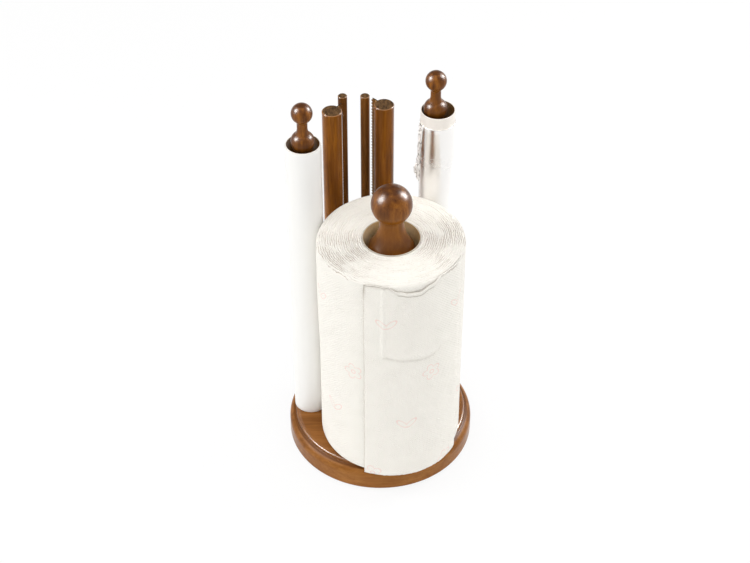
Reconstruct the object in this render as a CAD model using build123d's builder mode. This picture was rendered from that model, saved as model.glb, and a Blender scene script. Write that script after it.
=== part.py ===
from build123d import *

import os
from math import cos, hypot, pi, radians, sin, sqrt

# Round wooden stand for one roll of kitchen paper and two slim rolls of film and foil, with a toothed
# cutter for each slim roll. All sizes are in mm. The origin is the middle of the face that it rests on,
# with X to the right, Y to the back and Z up.

os.makedirs("parts", exist_ok=True)

# Board, turned from one piece, with a full round rim, a groove and a raised middle
board_thickness = 25.0
board_bottom_round = 1.8
rim_width = 6.2
nosing_radius = 8.0
groove_width = 0.6
step_height = 3.2
step_round = 1.7
plateau_margin = 3.2  # from the outermost dowel to the edge of the raised middle
seat_depth = 10.0
seat_clearance = 0.05
glue_gap = 0.5  # left at the bottom of a glued tenon

# Felt pads under the board
pad_height = 2.0
pad_radius = 9.0
pad_inset = 10.5
pad_count = 4  # in the outer ring, besides the one in the middle
pad_start_angle = 65.0

# Kitchen roll, which hides most of the board
paper_length = 230.0
paper_radius = 64.3
paper_core_bore = 24.6
paper_core_wall = 0.9
paper_top_round = 4.5
paper_bottom_round = 3.5
paper_mouth_round = 1.0

# Slim rolls
slim_core_bore = 14.2
slim_core_wall = 0.8
film_core_length = 305.5
film_length = 304.5
film_thickness = 0.6
foil_core_length = 313.2
foil_length = 301.5
foil_thickness = 0.5
winding_gap = 0.1  # between a core and what is wound on it
lift_gap = 0.3  # between the board and what is wound

# Posts that the rolls stand on
paper_post_offset = 29.9
paper_post_angle = -71.9
paper_post_radius = 19.0
paper_post_length = 216.3
slim_post_radius = 8.0
film_post_length = 302.0
foil_post_length = 307.0
tenon_shoulder = 3.5  # how much thinner a post's tenon is than the post

# Where the slim rolls stand, seen from the kitchen roll's post
film_bearing = 156.7
film_clear = 1.9
foil_bearing = 60.8
foil_clear = 2.0

# A slim roll's core is wider than its post, and leans to one side of it
film_side_gap = 2.5
film_side_angle = 90.0
foil_side_gap = 1.75
foil_side_angle = 0.0

# Large turned knob on the kitchen roll's post. Each height of a knob is measured from the one before it.
paper_foot_radius = 20.2
paper_foot_rise = 3.0
paper_foot_top_radius = 19.6
paper_foot_dome = 3.0
paper_neck_radius = 10.3
paper_flare_height = 27.5
paper_neck_length = 1.2
paper_ball_radius = 17.9
paper_crease_round = 0.6
paper_knob_tenon_radius = 8.0
paper_knob_tenon_length = 25.0

# Small turned knobs on the slim posts
slim_foot_radius = 10.2
slim_foot_rise = 8.0
slim_foot_top_radius = 6.0
slim_foot_dome = 7.2
slim_neck_radius = 4.55
slim_flare_height = 5.8
slim_neck_length = 4.4
slim_ball_radius = 9.2
slim_crease_round = 5.0
slim_knob_tenon_radius = 4.0
slim_knob_tenon_length = 18.0

# Cutters: a thick dowel with a toothed strip, and a thin dowel that guides the film to it
cutter_radius = 8.8
cutter_height = 312.5  # above the board
cutter_rim = 0.8
guide_radius = 4.1
guide_height = 312.5
guide_rim = 0.6
left_cutter_bearing = 126.0
left_cutter_clear = 14.2
right_cutter_bearing = 94.5
right_cutter_clear = 7.4
left_guide_angle = 69.0
left_guide_clear = 11.6
right_guide_angle = 141.3
right_guide_clear = 8.4

# Toothed strips, set in a saw cut along each thick dowel
strip_thickness = 0.6
strip_reach = 6.9  # beyond the dowel's surface
strip_set = 4.6  # depth of the saw cut
strip_foot = 4.0  # from the board to the strip's lower end
left_strip_angle = 55.0
right_strip_angle = 135.0
tooth_pitch = 3.2
tooth_depth = 1.8
kerf_clearance = 0.05

# Countersunk wood screws from below
screw_shank_radius = 2.0
screw_head_radius = 4.0
screw_length = 30.0
screw_tip = 4.0
screw_recess = 1.6
screw_slot = 0.9
pilot_clearance = 0.05
board_hole_clearance = 0.2

# Loose last sheet of the kitchen roll, with a sagging top edge that is folded over
sheet_thickness = 0.4
sheet_gap = 0.1
sheet_lift = 0.8  # from the board to the sheet's lower edge
sheet_edge_angle = -112.0
sheet_end_angle = -25.0
sheet_drop = 1.5  # from the roll's top to the sheet's upper edge
sag_start_angle = -97.0
sag_end_angle = -50.0
sag_depth = 9.0
fold_height = 4.5
fold_thickness = 0.6

# Crumpled free end of the foil, from the foil's top edge down to a small bunch
crumple_height = 60.0
crumple_sections = 9
crumple_width = 26.0  # degrees round the roll
crumple_thickness = 0.9
crumple_kink = 0.5
bunch_bulge = 3.0
bunch_height = 10.0
crumple_start_angle = -160.0
crumple_sweep = -16.0
crumple_half_turns = 0.7  # of the sine that the free end's middle follows down the roll

# Heights that the pieces share
board_bottom = pad_height
board_top = board_bottom + board_thickness
seat_floor = board_top - seat_depth
wound_bottom = board_top + lift_gap
paper_top = board_top + paper_length
paper_post_top = board_top + paper_post_length
slim_post_tops = {"film": board_top + film_post_length, "foil": board_top + foil_post_length}
cutter_top = board_top + cutter_height
guide_top = board_top + guide_height
strip_bottom = board_top + strip_foot

# Radii that the pieces share
paper_core_radius = paper_core_bore + paper_core_wall
slim_core_radius = slim_core_bore + slim_core_wall
film_radius = slim_core_radius + winding_gap + film_thickness
foil_radius = slim_core_radius + winding_gap + foil_thickness


def polar_step(start, distance, angle):
    """Return the point at a distance and an angle in degrees from the start point."""
    return (start[0] + distance * cos(radians(angle)), start[1] + distance * sin(radians(angle)))


# Plan positions, worked outwards from the kitchen roll's post
paper_place = polar_step((0.0, 0.0), paper_post_offset, paper_post_angle)
film_place = polar_step(paper_place, paper_radius + film_clear + film_radius, film_bearing)
foil_place = polar_step(paper_place, paper_radius + foil_clear + foil_radius, foil_bearing)
slim_play = slim_core_bore - slim_foot_radius
film_post_place = polar_step(film_place, film_side_gap - slim_play, film_side_angle)
foil_post_place = polar_step(foil_place, foil_side_gap - slim_play, foil_side_angle)
left_cutter_step = paper_radius + left_cutter_clear + cutter_radius
right_cutter_step = paper_radius + right_cutter_clear + cutter_radius
cutter_places = {
    "left": polar_step(paper_place, left_cutter_step, left_cutter_bearing),
    "right": polar_step(paper_place, right_cutter_step, right_cutter_bearing),
}
left_guide_step = cutter_radius + left_guide_clear + guide_radius
right_guide_step = cutter_radius + right_guide_clear + guide_radius
guide_places = {
    "left": polar_step(cutter_places["left"], left_guide_step, left_guide_angle),
    "right": polar_step(cutter_places["right"], right_guide_step, right_guide_angle),
}
strip_angles = {"left": left_strip_angle, "right": right_strip_angle}

# The raised middle reaches just past the outermost dowel, and the rim goes round it
dowel_reaches = [hypot(*paper_place) + paper_post_radius]
dowel_reaches += [hypot(*place) + slim_post_radius for place in (film_post_place, foil_post_place)]
dowel_reaches += [hypot(*place) + cutter_radius for place in cutter_places.values()]
dowel_reaches += [hypot(*place) + guide_radius for place in guide_places.values()]
plateau_radius = max(dowel_reaches) + plateau_margin
board_radius = plateau_radius + rim_width
pad_ring_radius = board_radius - pad_inset - pad_radius

# The round of the rim runs into the groove at the foot of the raised middle
groove_radius = plateau_radius + groove_width
groove_height = board_top - step_height
rim_round_height = groove_height - sqrt(nosing_radius**2 - (groove_radius - board_radius + nosing_radius) ** 2)

# What stands on the board: place, seat radius, and whether a screw holds it from below
paper_tenon_radius = paper_post_radius - tenon_shoulder
slim_tenon_radius = slim_post_radius - tenon_shoulder
screw_places = {
    "paper": paper_place,
    "film": film_post_place,
    "foil": foil_post_place,
    "cutter_left": cutter_places["left"],
    "cutter_right": cutter_places["right"],
}
seats = [
    (paper_place, paper_tenon_radius),
    (film_post_place, slim_tenon_radius),
    (foil_post_place, slim_tenon_radius),
]
seats += [(place, cutter_radius) for place in cutter_places.values()]
seats += [(place, guide_radius) for place in guide_places.values()]


def save(piece, name):
    """Label a finished piece and write it under its node name."""
    piece.label = name
    export_step(piece, f"parts/{name}.step")


def upright(place, height):
    """Return a level plane at a plan position and a height."""
    return Plane(origin=(place[0], place[1], height))


def turning_plane(place, height):
    """Return the plane of a turned piece's section, with X out of its axis and Y up from the height."""
    return Plane(origin=(place[0], place[1], height), x_dir=(1, 0, 0), z_dir=(0, -1, 0))


def turning_axis(place):
    """Return the upright axis at a plan position."""
    return Axis((place[0], place[1], 0), (0, 0, 1))


# Board
with BuildPart() as base:
    with BuildSketch(Plane.XZ) as board_section:
        with BuildLine():
            Polyline((0, board_bottom), (board_radius, board_bottom), (board_radius, rim_round_height))
            TangentArc((board_radius, rim_round_height), (groove_radius, groove_height), tangent=(0, 1))
            Polyline(
                (groove_radius, groove_height),
                (plateau_radius, groove_height),
                (plateau_radius, board_top),
                (0, board_top),
                (0, board_bottom),
            )
        make_face()
        rim_corner = board_section.vertices().group_by(Axis.X)[-1].sort_by(Axis.Y)[0]
        fillet(rim_corner, board_bottom_round)
        step_corner = board_section.vertices().group_by(Axis.Y)[-1].sort_by(Axis.X)[-1]
        fillet(step_corner, step_round)
    revolve(axis=Axis.Z)
    for place, seat_radius in seats:
        with Locations(upright(place, board_top)):
            Hole(radius=seat_radius + seat_clearance, depth=seat_depth)
    for place in screw_places.values():
        with Locations(Plane(origin=(place[0], place[1], board_bottom), z_dir=(0, 0, -1))):
            CounterSinkHole(
                radius=screw_shank_radius + board_hole_clearance,
                counter_sink_radius=screw_head_radius + board_hole_clearance,
                depth=board_thickness - seat_depth,
                counter_sink_angle=90,
            )
save(base.part, "base")


def felt_pad(place):
    """Return a round felt pad under the board."""
    with BuildPart() as pad:
        with BuildSketch(upright(place, 0)):
            Circle(pad_radius)
        extrude(amount=pad_height)
    return pad.part


# Felt pads: one in the middle and a ring near the rim
save(felt_pad((0, 0)), "felt_pad_middle")
for number in range(pad_count):
    pad_angle = pad_start_angle + number * 360 / pad_count
    save(felt_pad(polar_step((0, 0), pad_ring_radius, pad_angle)), f"felt_pad_{number + 1}")


def roll_post(place, radius, tenon_radius, top, knob_tenon_radius, knob_tenon_length):
    """Return a post with a tenon below, a screw's pilot hole in it and a bore for the knob on top."""
    with BuildPart() as post:
        with BuildSketch(upright(place, board_top)):
            Circle(radius)
        extrude(amount=top - board_top)
        with BuildSketch(upright(place, board_top)):
            Circle(tenon_radius)
        extrude(amount=glue_gap - seat_depth)
        with Locations(upright(place, top)):
            Hole(radius=knob_tenon_radius + seat_clearance, depth=knob_tenon_length + glue_gap)
        drill_pilot(place, seat_floor + glue_gap)
    return post.part


def drill_pilot(place, start):
    """Drill a screw's pilot hole up into the dowel that is being made, from its lower end."""
    with Locations(Plane(origin=(place[0], place[1], start), z_dir=(0, 0, -1))):
        Hole(
            radius=screw_shank_radius + pilot_clearance,
            depth=board_bottom + screw_length - start + glue_gap,
        )


def turned_knob(place, seat, seat_radius, foot, neck, ball_radius, crease_round, tenon):
    """Return a knob: a tenon, a rounded foot, a flare up to the neck, and a ball."""
    foot_radius, foot_rise, foot_top_radius, foot_dome = foot
    neck_radius, flare_height, neck_length = neck
    tenon_radius, tenon_length = tenon
    foot_top = foot_rise + foot_dome
    neck_height = foot_top + flare_height
    crease_start = neck_height + neck_length
    crease_depth = sqrt((ball_radius + crease_round) ** 2 - (neck_radius + crease_round) ** 2)
    ball_height = crease_start + crease_depth
    crease_height = ball_height - sqrt(ball_radius**2 - neck_radius**2)
    with BuildPart() as knob:
        with BuildSketch(turning_plane(place, seat)) as section:
            with BuildLine():
                Polyline(
                    (0, 0),
                    (0, -tenon_length),
                    (tenon_radius, -tenon_length),
                    (tenon_radius, 0),
                    (seat_radius, 0),
                )
                TangentArc((foot_radius, foot_rise), (seat_radius, 0), tangent=(0, -1))
                TangentArc((foot_radius, foot_rise), (foot_top_radius, foot_top), tangent=(0, 1))
                TangentArc((neck_radius, neck_height), (foot_top_radius, foot_top), tangent=(0, -1))
                Line((neck_radius, neck_height), (neck_radius, crease_height))
                ThreePointArc(
                    (neck_radius, crease_height), (ball_radius, ball_height), (0, ball_height + ball_radius)
                )
                Line((0, ball_height + ball_radius), (0, 0))
            make_face()
            crease = section.vertices().sort_by_distance((neck_radius, crease_height))[0]
            fillet(crease, crease_round)
        revolve(axis=turning_axis(place))
    return knob.part


# Posts and their knobs
paper_post = roll_post(
    paper_place, paper_post_radius, paper_tenon_radius, paper_post_top,
    paper_knob_tenon_radius, paper_knob_tenon_length,
)
save(paper_post, "paper_post")
paper_finial = turned_knob(
    paper_place, paper_post_top, paper_post_radius,
    foot=(paper_foot_radius, paper_foot_rise, paper_foot_top_radius, paper_foot_dome),
    neck=(paper_neck_radius, paper_flare_height, paper_neck_length),
    ball_radius=paper_ball_radius,
    crease_round=paper_crease_round,
    tenon=(paper_knob_tenon_radius, paper_knob_tenon_length),
)
save(paper_finial, "paper_finial")
for name, place in {"film": film_post_place, "foil": foil_post_place}.items():
    slim_post = roll_post(
        place, slim_post_radius, slim_tenon_radius, slim_post_tops[name],
        slim_knob_tenon_radius, slim_knob_tenon_length,
    )
    save(slim_post, f"{name}_post")
    slim_finial = turned_knob(
        place, slim_post_tops[name], slim_post_radius,
        foot=(slim_foot_radius, slim_foot_rise, slim_foot_top_radius, slim_foot_dome),
        neck=(slim_neck_radius, slim_flare_height, slim_neck_length),
        ball_radius=slim_ball_radius,
        crease_round=slim_crease_round,
        tenon=(slim_knob_tenon_radius, slim_knob_tenon_length),
    )
    save(slim_finial, f"{name}_finial")


def strip_plane(side):
    """Return the plane of a toothed strip, with X out of its dowel's axis and Y up."""
    angle = radians(strip_angles[side])
    out = (cos(angle), sin(angle), 0)
    across = (sin(angle), -cos(angle), 0)
    return Plane(origin=(*cutter_places[side], 0), x_dir=out, z_dir=across)


def strip_outline():
    """Return the strip's corners: a straight back and a row of teeth in front, from the bottom up."""
    back = cutter_radius - strip_set
    tip = cutter_radius + strip_reach
    root = tip - tooth_depth
    tooth_count = int((cutter_top - strip_bottom) / tooth_pitch)
    corners = [(back, cutter_top), (back, strip_bottom), (root, strip_bottom)]
    for tooth in range(tooth_count):
        corners.append((tip, strip_bottom + (tooth + 0.5) * tooth_pitch))
        corners.append((root, strip_bottom + (tooth + 1) * tooth_pitch))
    corners.append((root, cutter_top))
    return corners


# Cutters
for side, place in cutter_places.items():
    with BuildPart() as cutter_post:
        with BuildSketch(upright(place, seat_floor)):
            Circle(cutter_radius)
        extrude(amount=cutter_top - seat_floor)
        chamfer(cutter_post.edges().group_by(Axis.Z)[-1], cutter_rim)
        drill_pilot(place, seat_floor)
        with BuildSketch(strip_plane(side)):
            with Locations((cutter_radius, (strip_bottom + cutter_top) / 2)):
                Rectangle(2 * (strip_set + kerf_clearance), cutter_top - strip_bottom)
        extrude(amount=strip_thickness / 2 + kerf_clearance, both=True, mode=Mode.SUBTRACT)
    save(cutter_post.part, f"cutter_post_{side}")

    with BuildPart() as serrated_strip:
        with BuildSketch(strip_plane(side)):
            Polygon(*strip_outline(), align=None)
        extrude(amount=strip_thickness / 2, both=True)
    save(serrated_strip.part, f"serrated_strip_{side}")

for side, place in guide_places.items():
    with BuildPart() as guide_dowel:
        with BuildSketch(upright(place, seat_floor)):
            Circle(guide_radius)
        extrude(amount=guide_top - seat_floor)
        chamfer(guide_dowel.edges().group_by(Axis.Z)[-1], guide_rim)
    save(guide_dowel.part, f"guide_dowel_{side}")

# Wood screws
for name, place in screw_places.items():
    with BuildPart() as wood_screw:
        with BuildSketch(turning_plane(place, board_bottom)):
            Polygon(
                (0, 0),
                (screw_head_radius, 0),
                (screw_shank_radius, screw_head_radius - screw_shank_radius),
                (screw_shank_radius, screw_length - screw_tip),
                (0, screw_length),
                align=None,
            )
        revolve(axis=turning_axis(place))
        with BuildSketch(upright(place, board_bottom)):
            Rectangle(screw_head_radius, screw_slot)
            Rectangle(screw_slot, screw_head_radius)
        extrude(amount=screw_recess, mode=Mode.SUBTRACT)
    save(wood_screw.part, f"post_screw_{name}")


def tube(place, bore, radius, bottom, top):
    """Return a plain upright tube."""
    with BuildPart() as wall:
        with BuildSketch(upright(place, bottom)):
            Circle(radius)
            Circle(bore, mode=Mode.SUBTRACT)
        extrude(amount=top - bottom)
    return wall.part


# Cardboard cores
save(tube(paper_place, paper_core_bore, paper_core_radius, board_top, paper_top), "paper_core")
for name, place, length in (("film", film_place, film_core_length), ("foil", foil_place, foil_core_length)):
    slim_core = tube(place, slim_core_bore, slim_core_radius, board_top, board_top + length)
    save(slim_core, f"{name}_core")

# Kitchen paper, with soft edges
with BuildPart() as paper_roll:
    with BuildSketch(upright(paper_place, wound_bottom)):
        Circle(paper_radius)
        Circle(paper_core_radius + winding_gap, mode=Mode.SUBTRACT)
    extrude(amount=paper_top - wound_bottom)
    fillet(paper_roll.edges().group_by(Axis.Z)[-1].sort_by(SortBy.RADIUS)[-1], paper_top_round)
    fillet(paper_roll.edges().group_by(Axis.Z)[-1].sort_by(SortBy.RADIUS)[0], paper_mouth_round)
    fillet(paper_roll.edges().group_by(Axis.Z)[0].sort_by(SortBy.RADIUS)[-1], paper_bottom_round)
save(paper_roll.part, "paper_roll")

# Film and foil
film_bore = slim_core_radius + winding_gap
save(tube(film_place, film_bore, film_radius, wound_bottom, wound_bottom + film_length), "film_roll")
save(tube(foil_place, film_bore, foil_radius, wound_bottom, wound_bottom + foil_length), "foil_roll")


def ring_sector(inner, outer, start_angle, end_angle):
    """Return the part of a ring round the origin between two angles."""
    angles = (start_angle, (start_angle + end_angle) / 2, end_angle)
    with BuildSketch() as sector:
        with BuildLine():
            outer_arc = ThreePointArc(*[polar_step((0, 0), outer, angle) for angle in angles])
            inner_arc = ThreePointArc(*[polar_step((0, 0), inner, angle) for angle in angles])
            Line(outer_arc @ 0, inner_arc @ 0)
            Line(outer_arc @ 1, inner_arc @ 1)
        make_face()
    return sector.sketch


def sag_point(angle, height):
    """Return where a point at an angle on the sheet shows on a plane that faces the front."""
    return (paper_place[0] + sheet_radius * cos(radians(angle)), height)


def sag_edge(height):
    """Draw the sagging edge at a height, in the line that is being made."""
    middle_angle = (sag_start_angle + sag_end_angle) / 2
    return ThreePointArc(
        sag_point(sag_start_angle, height),
        sag_point(middle_angle, height - sag_depth),
        sag_point(sag_end_angle, height),
    )


# Loose last sheet
sheet_radius = paper_radius + sheet_gap
fold_radius = sheet_radius + sheet_thickness
sheet_bottom = board_top + sheet_lift
sheet_top = paper_top - paper_top_round - sheet_drop
with BuildPart() as paper_free_sheet:
    with BuildSketch(upright(paper_place, sheet_bottom)):
        add(ring_sector(sheet_radius, sheet_radius + sheet_thickness, sheet_edge_angle, sheet_end_angle))
    extrude(amount=sheet_top - sheet_bottom)
    with BuildSketch(Plane.XZ.offset(-paper_place[1])):
        with BuildLine():
            edge = sag_edge(sheet_top)
            Line(edge @ 0, edge @ 1)
        make_face()
    extrude(amount=2 * paper_radius, mode=Mode.SUBTRACT)
    with BuildPart(mode=Mode.PRIVATE) as fold:
        with BuildSketch(upright(paper_place, sheet_bottom)):
            add(ring_sector(fold_radius, fold_radius + fold_thickness, sag_start_angle, sag_end_angle))
        extrude(amount=sheet_top - sheet_bottom)
        with BuildSketch(Plane.XZ.offset(-paper_place[1])):
            with BuildLine():
                upper = sag_edge(sheet_top)
                lower = sag_edge(sheet_top - fold_height)
                Line(upper @ 0, lower @ 0)
                Line(upper @ 1, lower @ 1)
            make_face()
        extrude(amount=2 * paper_radius, mode=Mode.INTERSECT)
    add(fold.part)
save(paper_free_sheet.part, "paper_free_sheet")


def crumple_section(step):
    """Return the corners of the crumpled foil at one step down its height, round the foil's axis."""
    share = step / (crumple_sections - 1)
    drop = share * crumple_height
    middle = crumple_start_angle + crumple_sweep * sin(share * pi * crumple_half_turns)
    near_bunch = max(0.0, 1 - abs(crumple_height - bunch_height - drop) / bunch_height)
    odd = step % 2
    reach = crumple_thickness + bunch_bulge * near_bunch + crumple_kink * odd
    half_width = crumple_width / 2
    ridge = middle - (0.5 - odd) * half_width
    inner = foil_radius - crumple_thickness
    return [
        polar_step((0, 0), inner, middle - half_width),
        polar_step((0, 0), foil_radius + crumple_thickness / 2, middle - half_width),
        polar_step((0, 0), foil_radius + reach, ridge),
        polar_step((0, 0), foil_radius + crumple_thickness, middle + half_width),
        polar_step((0, 0), inner, middle + half_width),
    ]


# Crumpled free end of the foil
foil_top = wound_bottom + foil_length
with BuildPart() as foil_free_end:
    for step in range(crumple_sections):
        height = foil_top - step / (crumple_sections - 1) * crumple_height
        with BuildSketch(upright(foil_place, height)):
            Polygon(*crumple_section(step), align=None)
    loft(ruled=True)
    with BuildSketch(upright(foil_place, foil_top)):
        Circle(foil_radius + winding_gap)
    extrude(amount=-crumple_height, mode=Mode.SUBTRACT)
save(foil_free_end.part, "foil_free_end")
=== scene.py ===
"""Looks for the roll holder: wood, steel, paper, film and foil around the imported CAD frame."""

import logging
import math
from collections.abc import Callable, Iterable, Sequence
from dataclasses import dataclass, field
from enum import Enum
from typing import Any

import bmesh
import bpy
from mathutils import Matrix, Vector, noise

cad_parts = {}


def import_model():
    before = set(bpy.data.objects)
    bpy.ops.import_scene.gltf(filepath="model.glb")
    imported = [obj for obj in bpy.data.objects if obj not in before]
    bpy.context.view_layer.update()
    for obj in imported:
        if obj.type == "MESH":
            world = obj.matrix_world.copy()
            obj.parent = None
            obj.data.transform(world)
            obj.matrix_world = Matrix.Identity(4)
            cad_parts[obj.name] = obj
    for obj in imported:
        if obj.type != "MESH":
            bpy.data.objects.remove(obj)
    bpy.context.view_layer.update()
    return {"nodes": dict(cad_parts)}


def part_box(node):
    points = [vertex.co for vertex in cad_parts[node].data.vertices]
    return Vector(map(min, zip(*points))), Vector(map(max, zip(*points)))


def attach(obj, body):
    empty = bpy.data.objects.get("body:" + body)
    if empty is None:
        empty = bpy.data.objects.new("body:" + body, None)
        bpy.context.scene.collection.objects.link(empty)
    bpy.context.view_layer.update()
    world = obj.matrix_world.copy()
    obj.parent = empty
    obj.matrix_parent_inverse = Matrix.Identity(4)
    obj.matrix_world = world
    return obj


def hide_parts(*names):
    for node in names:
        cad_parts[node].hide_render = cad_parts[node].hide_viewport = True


log = logging.getLogger("roll_holder")

MM = 0.001
FULL_TURN = 2 * math.pi

Colour = tuple[float, float, float]
Triple = tuple[float, float, float]
Profile = list[tuple[float, float]]
Material = bpy.types.Material
Mesh = bmesh.types.BMesh
Piece = bpy.types.Object

DOWEL_BROWNS: tuple[Colour, ...] = ((0.070, 0.021, 0.002), (0.205, 0.067, 0.006), (0.360, 0.135, 0.016))


# Shader tools


def math_node(operation: str) -> Callable[..., "Socket"]:
    """Return a method that adds a Math node.

    Args:
        operation: what the node works out.

    Returns:
        The method, which takes the node's other values.
    """

    def method(self: "Socket", *others: "Socket | float") -> "Socket":
        """Add the node, and return its output."""
        values = dict(enumerate((self, *others)))
        return self.nodes.node("ShaderNodeMath", {"operation": operation}, values)

    return method


class Socket:
    """A node's output with Python's operators, each of which adds a Math node."""

    __add__ = __radd__ = math_node("ADD")
    __sub__ = math_node("SUBTRACT")
    __mul__ = __rmul__ = math_node("MULTIPLY")
    __truediv__ = math_node("DIVIDE")
    __pow__ = math_node("POWER")
    __mod__ = math_node("FLOORED_MODULO")
    __abs__ = math_node("ABSOLUTE")
    floor = math_node("FLOOR")
    sine = math_node("SINE")
    cosine = math_node("COSINE")
    angle_from = math_node("ARCTAN2")
    at_least = math_node("MAXIMUM")
    at_most = math_node("MINIMUM")

    def __init__(self, nodes: "Nodes", output: bpy.types.NodeSocket) -> None:
        """Wrap an output of one of a tree's nodes."""
        self.nodes = nodes
        self.output = output

    def __rsub__(self, other: float) -> "Socket":
        """Subtract from a number."""
        return self.nodes.node("ShaderNodeMath", {"operation": "SUBTRACT"}, {0: other, 1: self})

    def above(self, edge: float, soft: float) -> "Socket":
        """Return 0 below an edge and 1 above it, with a soft change between."""
        ends = {"Value": self, "From Min": edge - soft, "From Max": edge + soft}
        return self.nodes.node("ShaderNodeMapRange", {"interpolation_type": "SMOOTHSTEP"}, ends)

    def below(self, edge: float, soft: float) -> "Socket":
        """Return 1 below an edge and 0 above it, with a soft change between."""
        return 1.0 - self.above(edge, soft)

    def near(self, middle: "Socket | float", reach: float, soft: float) -> "Socket":
        """Return 1 within reach of a value and 0 farther off, with a soft change between."""
        return abs(self - middle).below(reach, soft)


def around(x: Socket, y: Socket, centre: Sequence[float] = (0.0, 0.0)) -> tuple[Socket, Socket]:
    """Return how far a point is from an upright axis and its angle round it."""
    across, back = x - centre[0], y - centre[1]
    return (across * across + back * back) ** 0.5, back.angle_from(across)


class Nodes:
    """A node tree that one method adds to."""

    def __init__(self, tree: bpy.types.NodeTree) -> None:
        """Take an emptied tree."""
        self.tree = tree
        tree.nodes.clear()

    def node(
        self, kind: str, settings: dict[str, Any] | None = None, inputs: dict[str | int, Any] | None = None,
        output: str | int = 0,
    ) -> Socket:
        """Add a node.

        Args:
            kind: the node's type.
            settings: its properties.
            inputs: a value or a Socket for each input, by name or number.
            output: the output that is wanted.

        Returns:
            That output.
        """
        made = self.tree.nodes.new(kind)
        for name, value in (settings or {}).items():
            setattr(made, name, value)
        self.feed(made, inputs or {})
        return Socket(self, made.outputs[output])

    def feed(self, made: bpy.types.Node, inputs: dict[str | int, Any]) -> None:
        """Set a node's inputs.

        Args:
            made: the node.
            inputs: a value for each input, or a Socket, which is linked.
        """
        for name, value in inputs.items():
            if isinstance(value, Socket):
                self.tree.links.new(value.output, made.inputs[name])
            else:
                made.inputs[name].default_value = value

    def parts(self, vector: Socket) -> tuple[Socket, Socket, Socket]:
        """Return a vector's X, Y and Z."""
        outputs = self.node("ShaderNodeSeparateXYZ", inputs={0: vector}).output.node.outputs
        return Socket(self, outputs[0]), Socket(self, outputs[1]), Socket(self, outputs[2])

    def light(self, kind: str, strength: Socket | float) -> Socket:
        """Return a white Emission or Background node of a strength."""
        return self.node(kind, inputs={"Color": (1.0, 1.0, 1.0, 1.0), "Strength": strength})

    def blend(self, share: Socket, first: Socket, second: Socket) -> Socket:
        """Return two shaders mixed, with the second's share."""
        return self.node("ShaderNodeMixShader", inputs={0: share, 1: first, 2: second})


class Shader(Nodes):
    """A material's nodes, from its coordinates to its Principled surface."""

    def __init__(self, name: str) -> None:
        """Make the material with a bare Principled surface.

        Args:
            name: the material's name.
        """
        self.material = bpy.data.materials.new(name)
        self.material.use_nodes = True
        super().__init__(self.material.node_tree)
        self.surface = self.node("ShaderNodeBsdfPrincipled")
        self.end = self.tree.nodes.new("ShaderNodeOutputMaterial")
        self.feed(self.end, {"Surface": self.surface})

    def place(self) -> Socket:
        """Return the point in the piece's own space, in metres."""
        return self.node("ShaderNodeTexCoord", output="Object")

    def wrap(self) -> Socket:
        """Return the piece's UV, in metres round it and up it."""
        return self.node("ShaderNodeUVMap", {"uv_map": "UVMap"})

    def attribute(self, name: str) -> Socket:
        """Return a number that the piece's corners carry, or 0 where it has none."""
        return self.node("ShaderNodeAttribute", {"attribute_name": name}, output="Fac")

    def facing(self) -> Socket:
        """Return 0 where the piece faces the eye, rising to 1 where it turns away."""
        return self.node("ShaderNodeLayerWeight", inputs={"Blend": 0.5}, output="Facing")

    def scaled(self, vector: Socket, scale: Triple, shift: Triple = (0.0, 0.0, 0.0)) -> Socket:
        """Return a vector stretched along its axes and then moved."""
        return self.node("ShaderNodeMapping", inputs={"Vector": vector, "Scale": scale, "Location": shift})

    def grain(self, vector: Socket, scale: float, detail: float = 2.0, rough: float = 0.5) -> Socket:
        """Return smooth noise from 0 to 1."""
        settings = {"Vector": vector, "Scale": scale, "Detail": detail, "Roughness": rough}
        return self.node("ShaderNodeTexNoise", inputs=settings)

    def ramp(self, value: Socket, stops: Sequence[tuple[float, Colour]]) -> Socket:
        """Return the colour that a ramp gives a value.

        Args:
            value: the value.
            stops: the ramp's places and colours, from low to high.

        Returns:
            The colour.
        """
        made = self.node("ShaderNodeValToRGB", inputs={0: value})
        elements = made.output.node.color_ramp.elements
        while len(elements) < len(stops):
            elements.new(1.0)
        for element, (position, colour) in zip(elements, stops):
            element.position, element.color = position, (*colour, 1.0)
        return made

    def mix(self, first: Socket | Colour, second: Socket | Colour, share: Socket) -> Socket:
        """Return one colour laid over another.

        Args:
            first: the colour underneath.
            second: the colour on top.
            share: how much of the top one shows, from 0 to 1.

        Returns:
            The mixed colour.
        """
        below, above = (c if isinstance(c, Socket) else (*c, 1.0) for c in (first, second))
        colours = {0: share, 6: below, 7: above}
        return self.node("ShaderNodeMix", {"data_type": "RGBA"}, colours, output=2)

    def relief(self, height: Socket, depth: float, strength: float = 1.0) -> Socket:
        """Return the normal that a height from 0 to 1 gives, for a depth in metres."""
        return self.node("ShaderNodeBump", inputs={"Height": height, "Distance": depth, "Strength": strength})

    def finish(self, **sockets: Any) -> Material:
        """Give the surface's inputs, named with _ for a space, and return the material."""
        self.feed(self.surface.output.node, {name.replace("_", " "): s for name, s in sockets.items()})
        return self.material


# Finishes


class Grain(Enum):
    """The way that a wooden piece's fibres run, as a stretch along each axis."""

    UPRIGHT = (1.0, 1.0, 0.045)
    ACROSS = (0.06, 1.0, 1.0)


@dataclass
class WoodLook:
    """What a wood finish has worked out for its surface."""

    colour: Socket
    roughness: Socket
    height: Socket
    gloss: Socket


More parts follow.
